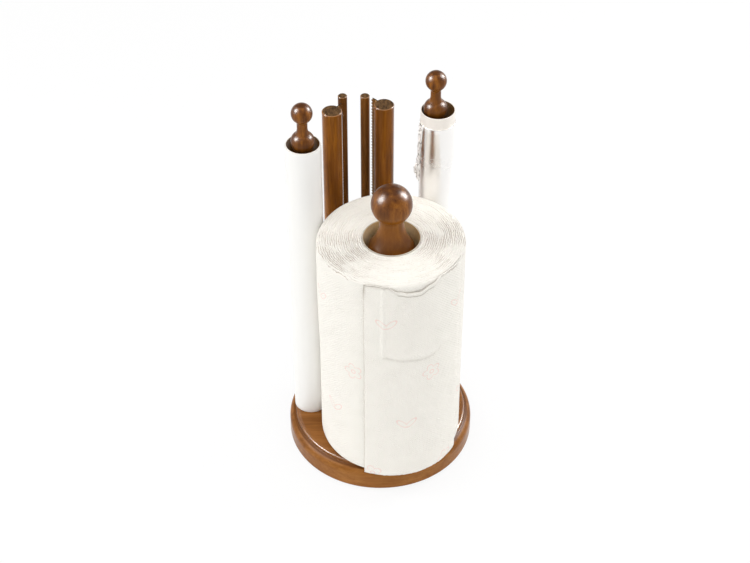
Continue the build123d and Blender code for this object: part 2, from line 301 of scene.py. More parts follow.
@dataclass(frozen=True)
class WoodFinish:
    """Brown lacquer over straight-grained wood."""

    name: str
    dark: Colour
    middle: Colour
    light: Colour
    roughness: float
    lacquer: float
    lacquer_roughness: float
    edge_lacquer: float = 0.0
    grain: Grain = Grain.UPRIGHT
    shift: Triple = (0.0, 0.0, 0.0)
    mottle: float = 0.25
    figure: float = 1.0
    fibre_tone: float = 0.34
    pore_tone: float = 0.55
    pore_depth: float = 0.00002

    def material(self) -> Material:
        """Make the wood's nodes.

        Returns:
            The material.
        """
        shader = Shader(self.name)
        place = shader.place()
        along = shader.scaled(place, self.grain.value, self.shift)
        broad = shader.grain(along, 42.0 * self.figure, 3.0)
        fibre = shader.grain(along, 330.0, 4.0, 0.6)
        pores = shader.grain(along, 1500.0, 1.0).above(0.66, 0.07)
        patches = shader.grain(shader.scaled(along, (1.0, 1.0, 4.0)), 95.0 * self.figure, 2.0)
        tone = broad * (1.0 - self.fibre_tone - self.mottle) + fibre * self.fibre_tone + patches * self.mottle
        stops = [(0.33, self.dark), (0.5, self.middle), (0.66, self.light)]
        look = WoodLook(
            colour=shader.mix(shader.ramp(tone, stops), self.dark, pores * self.pore_tone),
            roughness=fibre * 0.10 + (self.roughness - 0.05),
            height=fibre * 0.35 + pores * -0.65,
            gloss=shader.facing() ** 3.0 * self.edge_lacquer + self.lacquer,
        )
        self.work(shader, place, look)
        return shader.finish(
            Base_Color=look.colour,
            Roughness=look.roughness,
            Specular_IOR_Level=0.02,
            Coat_Weight=look.gloss,
            Coat_Roughness=self.lacquer_roughness,
            Coat_IOR=1.6,
            Normal=shader.relief(look.height, self.pore_depth),
        )

    def work(self, shader: Shader, place: Socket, look: WoodLook) -> None:
        """Add the marks of the wood's making, of which plain wood has none.

        Args:
            shader: the material's nodes.
            place: the point on the wood.
            look: the plain wood's look, which is changed.
        """


@dataclass(frozen=True, kw_only=True)
class KnobWood(WoodFinish):
    """A turned knob's wood: painted light on its lower ball and waist, painted shade down in its roll, with
    end grain on top.
    """

    pole: Triple
    pole_reach: float
    pole_depth: float = 1.2
    pole_shade: float = 0.55
    painted_light_below: float
    painted_lightness: float
    painted_shade_below: float
    foot_painted_shade: float = 0.45

    def work(self, shader: Shader, place: Socket, look: WoodLook) -> None:
        """Add the painted light round the waist, the painted shade on the foot and the end grain.

        Args:
            shader: the material's nodes.
            place: the point on the wood.
            look: the plain wood's look, which is changed.
        """
        x, y, z = shader.parts(place)
        end = z.above(self.pole[2] - self.pole_depth * self.pole_reach, 0.0005)
        end = around(x, y, self.pole)[0].below(self.pole_reach, 0.0006) * end
        # Painted light below the ball's middle, for light thrown up from the paper, and painted shade on the
        # foot down in the roll.
        colour = shader.mix(look.colour, self.light, z.below(self.painted_light_below, 0.010) * self.painted_lightness)
        colour = shader.mix(colour, self.dark, z.below(self.painted_shade_below, 0.006) * self.foot_painted_shade)
        look.colour = shader.mix(colour, self.dark, end * self.pole_shade)


@dataclass(frozen=True, kw_only=True)
class SawnWood(WoodFinish):
    """A dowel's wood, with bare rough end grain on its sawn top and a painted highlight on the rim round
    that.
    """

    cut_height: float
    cut_dark: Colour = (0.022, 0.012, 0.006)
    cut_light: Colour = (0.165, 0.088, 0.036)
    cut_roughness: float = 0.62
    rim: float = 0.0004
    rim_highlight_colour: Colour = (0.62, 0.36, 0.19)
    rim_highlight: float = 0.38

    def work(self, shader: Shader, place: Socket, look: WoodLook) -> None:
        """Add the bare top and the painted highlight on its rim.

        Args:
            shader: the material's nodes.
            place: the point on the wood.
            look: the plain wood's look, which is changed.
        """
        z = shader.parts(place)[2]
        cut = z.above(self.cut_height, 0.00008)
        rim = z.above(self.cut_height - self.rim, 0.00015) - cut
        speckle = shader.grain(place, 1100.0, 3.0, 0.7)
        rings = shader.grain(shader.scaled(place, (1.0, 0.35, 0.0), self.shift), 420.0, 2.0)
        bare = shader.ramp(speckle * 0.6 + rings * 0.4, [(0.36, self.cut_dark), (0.62, self.cut_light)])
        # A pale band just under the sawn top: a painted highlight on the rim's edge.
        look.colour = shader.mix(shader.mix(look.colour, self.rim_highlight_colour, rim * self.rim_highlight), bare, cut)
        look.roughness += cut * (self.cut_roughness - self.roughness)
        look.height += cut * speckle
        look.gloss *= 1.0 - cut


@dataclass(frozen=True, kw_only=True)
class BoardWood(WoodFinish):
    """The board's wood: a polished bead round its middle, and painted shade in the groove and a dull nosing
    outside it.
    """

    bead: float
    bead_width: float = 0.0021
    bead_lacquer: float = 0.46
    groove_out: float = 0.0026
    groove_width: float = 0.0013
    groove_painted_shade: float = 0.95
    nosing_out: float = 0.0040
    nosing_width: float = 0.0026

    def work(self, shader: Shader, place: Socket, look: WoodLook) -> None:
        """Add the bead, the painted shade in the groove and the nosing.

        Args:
            shader: the material's nodes.
            place: the point on the wood.
            look: the plain wood's look, which is changed.
        """
        x, y, _ = shader.parts(place)
        reach = around(x, y)[0]
        polished = reach.near(self.bead, self.bead_width, 0.0005)
        groove = reach.near(self.bead + self.groove_out, self.groove_width, 0.0006)
        nosing = reach.near(self.bead + self.nosing_out, self.nosing_width, 0.0006)
        # Painted shade in the groove at the foot of the raised middle.
        look.colour = shader.mix(look.colour, self.dark, groove * self.groove_painted_shade)
        look.gloss += polished * (self.bead_lacquer - self.lacquer) - nosing * self.lacquer


@dataclass(frozen=True)
class FeltFinish:
    """Pressed brown felt with loose fibres."""

    name: str = "felt"
    dark: Colour = (0.022, 0.013, 0.008)
    light: Colour = (0.085, 0.052, 0.034)

    def material(self) -> Material:
        """Make the felt's nodes.

        Returns:
            The material.
        """
        shader = Shader(self.name)
        place = shader.place()
        tufts = shader.grain(place, 900.0, 5.0, 0.7)
        hairs = shader.grain(shader.scaled(place, (1.0, 0.2, 1.0)), 3200.0, 2.0)
        tone = tufts * 0.6 + hairs * 0.4
        return shader.finish(
            Base_Color=shader.ramp(tone, [(0.35, self.dark), (0.68, self.light)]),
            Roughness=0.95,
            Sheen_Weight=0.4,
            Sheen_Roughness=0.5,
            Normal=shader.relief(tone, 0.0003),
        )


@dataclass(frozen=True)
class SteelFinish:
    """Steel with fine lines and dull spots from handling."""

    name: str
    colour: Colour
    shade: Colour
    roughness: float
    stretch: Triple = (1.0, 1.0, 1.0)
    tint: Colour = (1.0, 1.0, 1.0)
    sheen: float = 0.5

    def material(self) -> Material:
        """Make the steel's nodes.

        Returns:
            The material.
        """
        shader = Shader(self.name)
        place = shader.place()
        lines = shader.grain(shader.scaled(place, self.stretch), 2400.0, 2.0)
        spots = shader.grain(place, 160.0, 3.0)
        colour = shader.mix(self.colour, self.shade, spots.above(0.55, 0.12) * 0.6)
        colour, metal = self.work(shader, place, colour)
        return shader.finish(
            Base_Color=colour,
            Metallic=metal,
            Specular_IOR_Level=self.sheen,
            Specular_Tint=(*self.tint, 1.0),
            Roughness=lines * 0.16 + spots * 0.10 + (self.roughness - 0.12),
            Normal=shader.relief(lines, 0.00003),
        )

    def work(self, shader: Shader, place: Socket, colour: Socket) -> tuple[Socket, Socket | float]:
        """Return the surface with the marks of its use, of which plain steel has none.

        Args:
            shader: the material's nodes.
            place: the point on the steel.
            colour: the plain steel's colour.

        Returns:
            The colour and the share that is bare metal.
        """
        return colour, 1.0


@dataclass(frozen=True, kw_only=True)
class StripSteel(SteelFinish):
    """A strip's rolled steel, with a painted highlight along the line where it leaves the dowel and a dark
    top edge.
    """

    stretch: Triple = (1.0, 1.0, 0.03)
    tint: Colour = (0.62, 0.34, 0.16)
    sheen: float = 0.15
    axis: tuple[float, float]
    root: float
    root_width: float = 0.0004
    root_highlight_colour: Colour = (0.62, 0.42, 0.22)
    top: float
    top_colour: Colour = (0.030, 0.018, 0.010)

    def work(self, shader: Shader, place: Socket, colour: Socket) -> tuple[Socket, Socket | float]:
        """Return the surface with the painted highlight along the root and the dark top edge.

        Args:
            shader: the material's nodes.
            place: the point on the steel.
            colour: the plain steel's colour.

        Returns:
            The colour and the share that is bare metal.
        """
        x, y, z = shader.parts(place)
        # A pale, less metallic line along the root: a painted highlight.
        root_line_highlight = around(x, y, self.axis)[0].near(self.root, self.root_width, 0.0002)
        tip = z.above(self.top, 0.0001)
        colour = shader.mix(shader.mix(colour, self.root_highlight_colour, root_line_highlight), self.top_colour, tip)
        return colour, (1.0 - tip) * (1.0 - root_line_highlight * 0.75)


@dataclass(frozen=True)
class BoardCoreFinish:
    """A core of wound board, bare inside, with the spiral joint of its outer ply."""

    name: str
    colour: Colour
    shade: Colour
    inside: Colour
    centre: tuple[float, float]
    bore: float
    pitch: float = 0.075
    joint: float = 0.0006

    def material(self) -> Material:
        """Make the core's nodes.

        Returns:
            The material.
        """
        shader = Shader(self.name)
        place = shader.place()
        x, y, z = shader.parts(place)
        reach, turn = around(x, y, self.centre)
        joint = ((z + turn * (self.pitch / FULL_TURN)) % self.pitch).below(self.joint, self.joint)
        fibres = shader.grain(shader.scaled(place, (1.0, 1.0, 0.3)), 900.0, 4.0, 0.6)
        cloud = shader.grain(place, 60.0, 2.0)
        outside = shader.mix(self.colour, self.shade, fibres * 0.4 + cloud * 0.2 + joint * 0.5)
        bare = shader.mix(self.inside, (0.0, 0.0, 0.0), fibres * 0.35 + joint * 0.5)
        return shader.finish(
            Base_Color=shader.mix(bare, outside, reach.above(self.bore + 0.0001, 0.00008)),
            Roughness=0.85,
            Specular_IOR_Level=0.2,
            Normal=shader.relief(fibres * 0.4 - joint, 0.00012),
        )


@dataclass(frozen=True)
class PaperFinish:
    """Soft embossed kitchen paper with a faint print of blossoms and leaves."""

    name: str
    centre: tuple[float, float]
    rim: float
    torn_edge: float
    colour: Colour = (0.90, 0.875, 0.815)
    shade: Colour = (0.60, 0.54, 0.46)
    gap: Colour = (0.36, 0.27, 0.21)
    ink: Colour = (0.86, 0.60, 0.545)
    crease: Colour = (0.30, 0.255, 0.20)
    emboss: float = 0.0027
    emboss_depth: float = 0.00042
    ply: float = 0.0018
    worn: tuple[float, float] = (-4.0, 208.0)
    cell: tuple[float, float] = (0.072, 0.060)
    row_shift: float = 0.0093
    blossom: float = 0.0088
    line: float = 0.00046

    def material(self) -> Material:
        """Make the paper's nodes.

        Returns:
            The material.
        """
        shader = Shader(self.name)
        u, v, _ = shader.parts(shader.wrap())
        place = shader.place()
        x, y, z = shader.parts(place)
        wave = FULL_TURN / self.emboss
        pressed = (u * wave).sine() * (v * wave).sine() * 0.5 + 0.5
        uneven = shader.grain(place, 90.0, 3.0)
        fibre = shader.grain(place, 1600.0, 4.0, 0.65)
        soft = shader.grain(place, 240.0, 2.0)
        reach, turn = around(x, y, self.centre)
        crowd = shader.grain(place, 75.0, 3.0) * 2.2 + shader.grain(place, 420.0, 2.0) * 0.9
        ply = (reach / self.ply - turn / FULL_TURN + crowd) % 1.0
        edges = abs(ply - 0.5) * 2.0
        loose = self._loose(turn)
        top = z.above(self.rim, 0.0012)
        wall = 1.0 - top
        wall_height = pressed * (uneven * 0.9 + 0.25) + fibre * 0.35 + soft * 0.9
        top_height = edges * (loose * 1.1 + 0.35) + fibre * 0.9 + soft * 0.6
        hollow_shade = (1.0 - pressed) * uneven * 0.20 + (1.0 - fibre) * 0.08
        # Painted shade in the gaps between the wound layers on top, deepest where they stand apart.
        patches = shader.grain(place, 55.0, 3.0).above(0.47, 0.08)
        layer_gap_shade = (1.0 - edges) ** 7.0 * patches * (loose * 1.7 + 0.22) * top
        # Painted shade in the emboss's hollows, and a faint painted shade over the whole top.
        colour = shader.mix(self.colour, self.shade, hollow_shade * (1.0 - top * 0.6) + top * 0.09)
        colour = shader.mix(colour, self.gap, layer_gap_shade)
        # A grey line along the sheet's torn edge: partly its torn fibres, partly painted shade where the edge
        # stands off the roll.
        colour = shader.mix(colour, self.shade, u.near(self.torn_edge, 0.0005, 0.0004) * 0.55 * wall)
        colour = shader.mix(colour, self.ink, self._print(u, v) * wall * (fibre * 0.6 + 0.34))
        return shader.finish(
            # Painted shade from the sheet's crease_shade attribute: in its creases, under the fold's lip and
            # at the turned corner.
            Base_Color=shader.mix(colour, self.crease, shader.attribute("crease_shade")),
            Roughness=0.93,
            Specular_IOR_Level=0.04,
            Sheen_Weight=0.05,
            Sheen_Roughness=0.6,
            Normal=shader.relief(wall_height * wall + top_height * top, self.emboss_depth),
        )

    def _loose(self, turn: Socket) -> Socket:
        """Return 1 at the angles where the layers on top stand apart, and 0 elsewhere."""
        first, second = ((turn - math.radians(angle)).cosine().at_least(0.0) ** 5.0 for angle in self.worn)
        return first + second

    def _print(self, u: Socket, v: Socket) -> Socket:
        """Return the print's lines: outlined blossoms in one row of cells, leaf pairs in the next.

        Args:
            u: how far round the roll the point is.
            v: how far up.

        Returns:
            1 on a line and 0 elsewhere.
        """
        wide, high = self.cell
        row = (v / high).floor()
        odd = row % 2.0
        across = (u + odd * (wide * 0.45) + row * self.row_shift) % wide - wide / 2
        up = v % high - high / 2
        pen = (self.line, self.line * 0.6)
        reach, turn = around(across, up)
        petal = abs((turn * 2.5).sine()) * (self.blossom * 0.42) + self.blossom * 0.58
        flower = reach.near(petal, *pen) + reach.near(self.blossom * 0.22, *pen)
        lean = abs(across) * 0.7 - up * 0.7
        side = abs(across) * 0.7 + up * 0.7 - self.blossom * 0.65
        leaf = (side * side * 0.36 + lean * lean * 2.4) ** 0.5
        return flower * (1.0 - odd) + leaf.near(self.blossom * 0.42, *pen) * odd


@dataclass(frozen=True)
class FilmFinish:
    """Tightly wound clear film, which looks white and smooth."""

    name: str = "cling_film"
    colour: Colour = (0.89, 0.885, 0.865)
    shade: Colour = (0.86, 0.85, 0.82)

    def material(self) -> Material:
        """Make the film's nodes.

        Returns:
            The material.
        """
        shader = Shader(self.name)
        place = shader.place()
        strain = shader.grain(shader.scaled(place, (1.0, 1.0, 0.06)), 300.0, 3.0)
        cloud = shader.grain(shader.scaled(place, (1.0, 1.0, 0.25)), 60.0, 2.0)
        return shader.finish(
            Base_Color=shader.mix(self.colour, self.shade, strain * 0.5 + cloud * 0.2),
            Roughness=cloud * 0.12 + 0.26,
            Specular_IOR_Level=0.15,
            Coat_Weight=0.12,
            Coat_Roughness=0.12,
            Normal=shader.relief(strain + cloud * 0.6, 0.00010, 0.5),
        )


@dataclass(frozen=True)
class FoilFinish:
    """Household aluminium foil, shiny side out, with faint rolling lines and soft creases."""

    name: str = "foil"
    colour: Colour = (0.95, 0.935, 0.915)
    shade: Colour = (0.84, 0.825, 0.80)
    crease_depth: float = 0.00018
    roughness: float = 0.25
    metal: float = 1.0
    bright_height: float = 1.0
    fade: float = 0.0
    fold_shade: float = 0.0
    fold_shade_colour: Colour = (0.10, 0.085, 0.06)

    def material(self) -> Material:
        """Make the foil's nodes.

        Returns:
            The material.
        """
        shader = Shader(self.name)
        place = shader.place()
        lines = shader.grain(shader.scaled(shader.wrap(), (0.05, 1.0, 1.0)), 1500.0, 2.0)
        creases = shader.grain(place, 110.0, 3.0, 0.45)
        loose = shader.parts(place)[2].below(self.bright_height, 0.028)
        folds = shader.grain(shader.scaled(place, (1.0, 1.0, 0.55)), 230.0, 1.0).near(0.5, 0.022, 0.014)
        colour = shader.mix(self.colour, self.shade, lines * 0.4)
        return shader.finish(
            # Painted shade in the folds of the crumpled foil.
            Base_Color=shader.mix(colour, self.fold_shade_colour, folds * self.fold_shade),
            Metallic=loose * -self.fade + self.metal,
            Roughness=lines * 0.08 + creases * 0.10 + loose * 0.15 + (self.roughness - 0.09),
            Normal=shader.relief(creases + lines * 0.05, self.crease_depth, 0.8),
        )


# Mesh tools


def smoothstep(low: float, high: float, value: float) -> float:
    """Return 0 below low, 1 above high and a smooth change between."""
    share = min(1.0, max(0.0, (value - low) / (high - low)))
    return share * share * (3 - 2 * share)


def band(value: float, rise: tuple[float, float], fall: tuple[float, float]) -> float:
    """Return 1 from the end of the rise to the start of the fall, and 0 before and after both."""
    return smoothstep(*rise, value) * (1 - smoothstep(*fall, value))


def hump(away: float, width: float) -> float:
    """Return 1 at no distance, falling smoothly to about a third at the width."""
    return math.exp(-((away / width) ** 2))


def ripple(x: float, y: float, z: float) -> float:
    """Return smooth noise about 0 at a point."""
    return noise.noise(Vector((x, y, z)))


def polar(centre: Vector, reach: float, angle: float, height: float) -> Vector:
    """Return the point at a reach and an angle in radians from an upright axis."""
    return Vector((centre.x + reach * math.cos(angle), centre.y + reach * math.sin(angle), height))


def curve_through(points: Sequence[tuple[float, float]], at: float) -> float:
    """Return a smooth curve's value at a place.

    Args:
        points: the places and values that it goes through, from low to high.
        at: the place.

    Returns:
        The value, which keeps the first and last beyond the ends.
    """
    if at <= points[0][0]:
        return points[0][1]
    for (low, first), (high, second) in zip(points, points[1:]):
        if at <= high:
            return first + (second - first) * smoothstep(low, high, at)
    return points[-1][1]


def arc_profile(centre: tuple[float, float], radius: float, start: float, end: float, steps: int) -> Profile:
    """Return points of a round edge's section, between two angles in degrees."""
    angles = (math.radians(start + (end - start) * step / steps) for step in range(steps + 1))
    return [(centre[0] + radius * math.cos(a), centre[1] + radius * math.sin(a)) for a in angles]


def run_profile(start: tuple[float, float], end: tuple[float, float], steps: int) -> Profile:
    """Return points of a straight run of a section, without its ends."""
    shares = (step / steps for step in range(1, steps))
    return [(start[0] + (end[0] - start[0]) * s, start[1] + (end[1] - start[1]) * s) for s in shares]


def turned(profile: Profile, centre: Vector, steps: int) -> Mesh:
    """Return a closed section turned all the way round an upright axis.

    Args:
        profile: reach and height of each corner of the section.
        centre: a point of the axis.
        steps: sides round the axis.

    Returns:
        The mesh, closed and facing outwards.
    """
    mesh = bmesh.new()
    corners = [mesh.verts.new((centre.x + reach, centre.y, height)) for reach, height in profile]
    lines = [mesh.edges.new(pair) for pair in zip(corners, corners[1:] + corners[:1])]
    bmesh.ops.spin(
        mesh, geom=corners + lines, cent=(centre.x, centre.y, 0.0), axis=(0.0, 0.0, 1.0),
        dvec=(0.0, 0.0, 0.0), angle=FULL_TURN, steps=steps, use_merge=True,
    )
    bmesh.ops.remove_doubles(mesh, verts=mesh.verts, dist=1e-7)
    bmesh.ops.recalc_face_normals(mesh, faces=mesh.faces)
    return mesh


def wrap_uv(mesh: Mesh, centre: Vector, radius: float, seam: float) -> None:
    """Give a turned mesh a UV in metres: round its axis, and up its wall and in over its ends.

    Args:
        mesh: the mesh.
        centre: a point of its axis.
        radius: the wall's radius.
        seam: the angle in radians where the UV starts.
    """
    layer = mesh.loops.layers.uv.new("UVMap")
    for face in mesh.faces:
        middle = face.calc_center_median() - centre
        base = (math.atan2(middle.y, middle.x) - seam) % FULL_TURN
        for loop in face.loops:
            arm = loop.vert.co - centre
            turn = math.atan2(arm.y, arm.x) - seam - base
            turn = base + (turn + math.pi) % FULL_TURN - math.pi
            loop[layer].uv = (turn * radius, loop.vert.co.z + radius - arm.xy.length)


def made(mesh: Mesh, name: str, material: Material, smooth: bool = True) -> Piece:
    """Return a new object at the origin for a finished mesh.

    Args:
        mesh: the finished mesh, which is freed.
        name: the piece's name.
        material: its finish.
        smooth: whether its faces are shaded smooth.

    Returns:
        The object, linked to the scene.
    """
    for face in mesh.faces:
        face.smooth = smooth
    data = bpy.data.meshes.new(name)
    mesh.to_mesh(data)
    mesh.free()
    data.materials.append(material)
    piece = bpy.data.objects.new(name, data)
    bpy.context.scene.collection.objects.link(piece)
    return piece


def thicken(piece: Piece, thickness: float, offset: float = 1.0) -> None:
    """Give a sheet its thickness with a live modifier."""
    solid = piece.modifiers.new("thickness", "SOLIDIFY")
    solid.thickness, solid.offset, solid.use_even_offset = thickness, offset, False


def settle(piece: Piece, body: str, node: str, note: str) -> None:
    """Put a finished piece on its body in place of its CAD node, and log it.

    Args:
        piece: the piece.
        body: the body that it moves with.
        node: the CAD node that it stands for.
        note: what the piece is, for the log.
    """
    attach(piece, body)
    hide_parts(node)
    log.info("%s: %s", piece.name, note)


# Rigid parts from the CAD

RigidFinish = WoodFinish | SteelFinish | BoardCoreFinish


@dataclass
class CadParts:
    """CAD nodes whose shapes are right and that only need their finishes."""

    nodes: dict[str, Piece]

    def finish(self, names: Iterable[str], slot: str, look: RigidFinish) -> None:
        """Give some of the nodes a finish.

        Args:
            names: the nodes.
            slot: not used.
            look: their finish.
        """
        material = look.material()
        for name in names:
            piece = self.nodes[name]
            piece.data.materials.clear()
            piece.data.materials.append(material)
            log.info("%s: %s", name, look.name)


@dataclass
class Stand(CadParts):
    """The board, the roll posts with their knobs, and the screws from below."""

    bead_in: float = 7.5 * MM

    def dress(self) -> None:
        """Give every part its finish."""
        self._board()
        for index, name in enumerate(("paper_post", "film_post", "foil_post")):
            look = WoodFinish(f"{name}_wood", *DOWEL_BROWNS, 0.40, 0.10, 0.20, shift=(0.3 * index, 0.7, 0.1))
            self.finish([name], "dowel_wood", look)
        self._knobs()
        zinc = SteelFinish("screw_steel", (0.66, 0.62, 0.52), (0.42, 0.38, 0.30), 0.34)
        self.finish([name for name in self.nodes if name.startswith("post_screw")], "screw_steel", zinc)

    def _board(self) -> None:
        """Finish the board, whose bead is the edge of its raised middle."""
        self.finish(["base"], "board_wood", BoardWood(
            "board_wood", (0.150, 0.051, 0.009), (0.268, 0.102, 0.022), (0.375, 0.158, 0.040),
            0.42, 0.11, 0.30, edge_lacquer=0.9, grain=Grain.ACROSS, bead=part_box("base")[1].x - self.bead_in,
        ))

    def _knobs(self) -> None:
        """Finish the knobs, with painted light below the ball and painted shade down in the roll; the slim
        rolls' are duller and stand deeper in their rolls.
        """
        wide = {"lacquer": 0.34, "lacquer_roughness": 0.26, "figure": 1.7, "painted_lightness": 0.42}
        slim = {"lacquer": 0.25, "lacquer_roughness": 0.31, "figure": 2.8, "painted_lightness": 0.12}
        kinds = (("paper_finial", wide, 1.20), ("film_finial", slim, 1.55), ("foil_finial", slim, 1.55))
        for index, (name, polish, clear) in enumerate(kinds):
            low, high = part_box(name)
            ball = high.x - low.x
            self.finish([name], "knob_wood", KnobWood(
                f"{name}_wood", (0.050, 0.013, 0.001), (0.150, 0.046, 0.0035), (0.310, 0.110, 0.011), 0.36,
                edge_lacquer=0.7, shift=(0.9, 0.2 * index, 0.3 * index), mottle=0.4, pore_depth=0.000004,
                pole=((low.x + high.x) / 2, (low.y + high.y) / 2, high.z), pole_reach=ball * 0.21,
                painted_light_below=high.z - ball * 0.52, painted_shade_below=high.z - ball * clear, **polish,
            ))


@dataclass
class Cutters(CadParts):
    """The thick dowels with their toothed strips, and the guide dowels beside them."""

    cut_depth: float = 0.08 * MM
    root_out: float = 0.9 * MM
    top_edge: float = 0.4 * MM

    def dress(self) -> None:
        """Give every part its finish."""
        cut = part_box("cutter_post_left")[1].z - self.cut_depth
        for index, side in enumerate(("left", "right")):
            thick, thin, strip = f"cutter_post_{side}", f"guide_dowel_{side}", f"serrated_strip_{side}"
            self.finish([thick], "dowel_wood", SawnWood(
                f"{thick}_wood", *DOWEL_BROWNS, 0.38, 0.10, 0.16, edge_lacquer=1.7,
                shift=(0.41 * index, 0.13, 0.05 * index), mottle=0.30, cut_height=cut,
            ))
            self.finish([thin], "dowel_wood", SawnWood(
                f"{thin}_wood", (0.064, 0.024, 0.004), (0.125, 0.046, 0.008), (0.205, 0.080, 0.015),
                0.40, 0.10, 0.20, edge_lacquer=0.6, shift=(0.2, 0.6 * index, 0.0), cut_height=cut,
            ))
            low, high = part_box(thick)
            self.finish([strip], "strip_steel", StripSteel(
                f"strip_steel_{side}", (0.230, 0.115, 0.040), (0.100, 0.046, 0.016), 0.40,
                axis=((low.x + high.x) / 2, (low.y + high.y) / 2), root=(high.x - low.x) / 2 + self.root_out,
                top=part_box(strip)[1].z - self.top_edge,
            ))


@dataclass
class Cores(CadParts):
    """The cardboard cores: a bare one for the kitchen paper and two white ones."""

    paper_wall: float = 0.9 * MM
    slim_wall: float = 0.8 * MM

    def dress(self) -> None:
        """Give each core its finish."""
        kraft, brown = (0.84, 0.58, 0.27), (0.30, 0.150, 0.045)
        for roll, colour, shade, inside, slot in (
            ("paper", (0.56, 0.52, 0.45), (0.36, 0.32, 0.26), kraft, "core_board"),
            ("film", (0.90, 0.875, 0.83), (0.76, 0.72, 0.66), brown, "white_core"),
            ("foil", (0.92, 0.875, 0.815), (0.78, 0.72, 0.65), brown, "white_core"),
        ):
            low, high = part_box(f"{roll}_core")
            middle = (low + high) / 2
            bore = (high.x - low.x) / 2 - (self.paper_wall if roll == "paper" else self.slim_wall)
            look = BoardCoreFinish(f"{roll}_core_board", colour, shade, inside, (middle.x, middle.y), bore)
            self.finish([f"{roll}_core"], slot, look)


# Soft and wound pieces


@dataclass
class FeltPads:
    """Round felt pads under the board, with a softened edge."""

    edge: float = 0.4 * MM
    sides: int = 48
    rings: int = 5
    fuzz: float = 0.12 * MM
    fuzz_scale: float = 2500.0
    names: tuple[str, ...] = ("felt_pad_middle", "felt_pad_1", "felt_pad_2", "felt_pad_3", "felt_pad_4")

    def build(self, material: Material) -> None:
        """Make each pad in its CAD node's place.

        Args:
            material: the felt's material.
        """
        for name in self.names:
            piece = made(self._disc(*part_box(name)), f"{name}_felt", material)
            settle(piece, "stand", name, "pressed felt disc")

    def _disc(self, low: Vector, high: Vector) -> Mesh:
        """Return one disc with a bevelled, slightly fuzzy edge.

        Args:
            low: the lowest corner of the node's box.
            high: the highest corner.

        Returns:
            The disc's mesh.
        """
        centre, radius, depth = (low + high) / 2, (high.x - low.x) / 2, high.z - low.z
        mesh = bmesh.new()
        bmesh.ops.create_cone(
            mesh, cap_ends=True, segments=self.sides, radius1=radius, radius2=radius, depth=depth,
            matrix=Matrix.Translation(centre),
        )
        rims = [e for e in mesh.edges if abs(e.verts[0].co.z - e.verts[1].co.z) < depth / 2]
        bmesh.ops.bevel(
            mesh, geom=rims, offset=self.edge, segments=3, profile=0.5, affect="EDGES", material=-1,
        )
        caps = [f for f in mesh.faces if len(f.verts) > 4]
        for _ in range(self.rings):
            bmesh.ops.inset_individual(mesh, faces=caps, thickness=radius / (self.rings + 1))
        for corner in mesh.verts:
            arm = corner.co - centre
            if arm.xy.length > radius - self.edge * 2 and abs(arm.z) < depth * 0.42:
                fuzz = self.fuzz * (0.5 + 0.5 * noise.noise(corner.co * self.fuzz_scale))
                corner.co -= Vector((arm.x, arm.y, 0)).normalized() * fuzz
        bmesh.ops.recalc_face_normals(mesh, faces=mesh.faces)
        return mesh


@dataclass
class WoundRoll:
    """What is wound on a core: a turned body, which each kind of roll softens in its own way."""

    name: str
    node: str
    body: str
    slot: str
    sides: int = 144
    seam: float = math.radians(90)
    clearance: float = 0.1 * MM

    def __post_init__(self) -> None:
        """Read the places of the CAD node and its core."""
        self.low, self.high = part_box(self.node)
        core_low, core_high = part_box(self.node.replace("_roll", "_core"))
        self.centre = (self.low + self.high) / 2
        self.radius = (self.high.x - self.low.x) / 2
        self.bore = (core_high.x - core_low.x) / 2 + self.clearance

    def build(self, material: Material) -> None:
        """Make the wound body in its CAD node's place.

        Args:
            material: its material.
        """
        mesh = turned(self.section(), self.centre, self.sides)
        wrap_uv(mesh, self.centre, self.radius, self.seam)
        for corner in mesh.verts:
            arm = Vector((corner.co.x - self.centre.x, corner.co.y - self.centre.y, 0))
            corner.co += self.softness(corner.co, arm)
        settle(made(mesh, self.name, material), self.body, self.node, "wound layers")

    def section(self) -> Profile:
        """Return the section of the wound body, from the bore's foot up and round."""
        raise NotImplementedError

    def softness(self, point: Vector, arm: Vector) -> Vector:
        """Return how far a corner moves from the turned shape.

        Args:
            point: the corner.
            arm: its level distance from the axis.

        Returns:
            The move.
        """
        raise NotImplementedError


